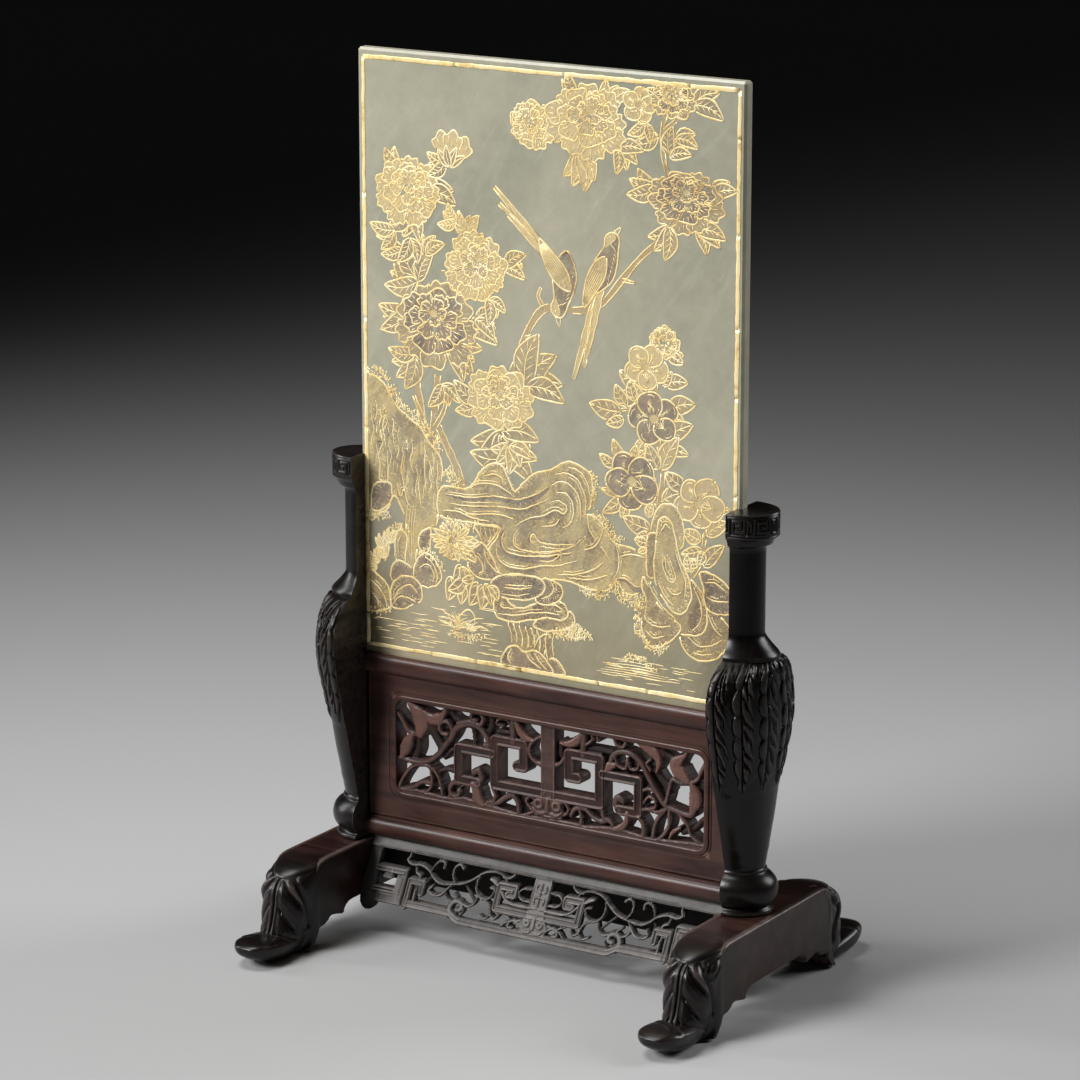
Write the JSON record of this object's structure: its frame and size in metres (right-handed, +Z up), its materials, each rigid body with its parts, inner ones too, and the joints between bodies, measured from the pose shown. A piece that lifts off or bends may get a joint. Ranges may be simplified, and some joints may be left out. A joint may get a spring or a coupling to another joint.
{
  "type": "table screen",
  "caption": "Upright rectangular stone plaque held between carved half-vase posts on a low wooden stand with pierced panel, sloping aprons and scrolled feet.",
  "frame": {"origin": "on the floor, midway between the two feet and midway between front and back", "axes": "+Z up; X along the screen, left to right seen from the front; the pictured front faces -Y"},
  "size_m": [0.1736, 0.1312, 0.2966],
  "materials": {
    "serpentine": "polished pale green serpentine stone with a worn gilt picture",
    "dark_hardwood": "near-black hardwood, satin",
    "red_brown_hardwood": "red-brown hardwood, satin, worn edges",
    "worn_hardwood": "greyish worn hardwood, dull"
  },
  "bodies": {
    "root": {"serpentine_plaque": "serpentine", "post_left": "dark_hardwood", "post_right": "dark_hardwood", "foot_left": "dark_hardwood", "foot_right": "dark_hardwood", "upper_rail": "red_brown_hardwood", "lower_rail": "red_brown_hardwood", "pierced_panel": "red_brown_hardwood", "apron_front": "worn_hardwood", "apron_back": "worn_hardwood", "apron_corner_front_left": "worn_hardwood", "apron_corner_front_right": "worn_hardwood"}
  },
  "joints": []
}
